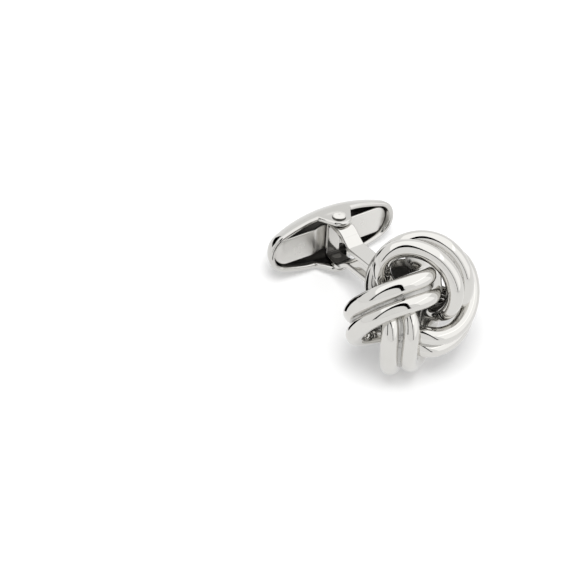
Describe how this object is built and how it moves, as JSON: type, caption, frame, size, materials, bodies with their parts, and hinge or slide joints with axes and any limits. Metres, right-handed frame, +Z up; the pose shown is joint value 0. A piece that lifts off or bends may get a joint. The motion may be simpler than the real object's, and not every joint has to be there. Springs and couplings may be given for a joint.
{
  "type": "cufflink",
  "caption": "Double-wire knot cufflink in polished white metal, with a forked post and a boat-shaped swivel toggle held by a leaf spring.",
  "frame": {"origin": "on the table, under the centre of the lying cufflink's bounding box", "axes": "+Y from the knot towards the toggle, +Z up from the table, +X along the toggle; the post slopes up towards the knot"},
  "size_m": [0.0164, 0.0222, 0.0158],
  "materials": {
    "polished_wire": "mirror-polished plate",
    "polished_cup": "mirror-polished plate",
    "polished_post": "polished plate with soft edges",
    "polished_toggle": "mirror-polished plate",
    "spring_plate": "polished spring strip",
    "polished_stud": "polished plate"
  },
  "bodies": {
    "knot": {"knot_loop_a_inner": "polished_wire", "knot_loop_a_outer": "polished_wire", "knot_loop_b_inner": "polished_wire", "knot_loop_b_outer": "polished_wire", "backing_cup": "polished_cup", "post": "polished_post"},
    "toggle": {"toggle_shell": "polished_toggle", "leaf_spring": "spring_plate", "pivot_stud_upper": "polished_stud", "pivot_stud_lower": "polished_stud"}
  },
  "joints": [
    {"name": "toggle_swivel", "type": "hinge", "parent": "knot", "child": "toggle", "pos_m": [0, 0.00695, 0.00367], "axis": [0.0558, 0.3122, 0.9484], "range_deg": [-87, 87]}
  ]
}
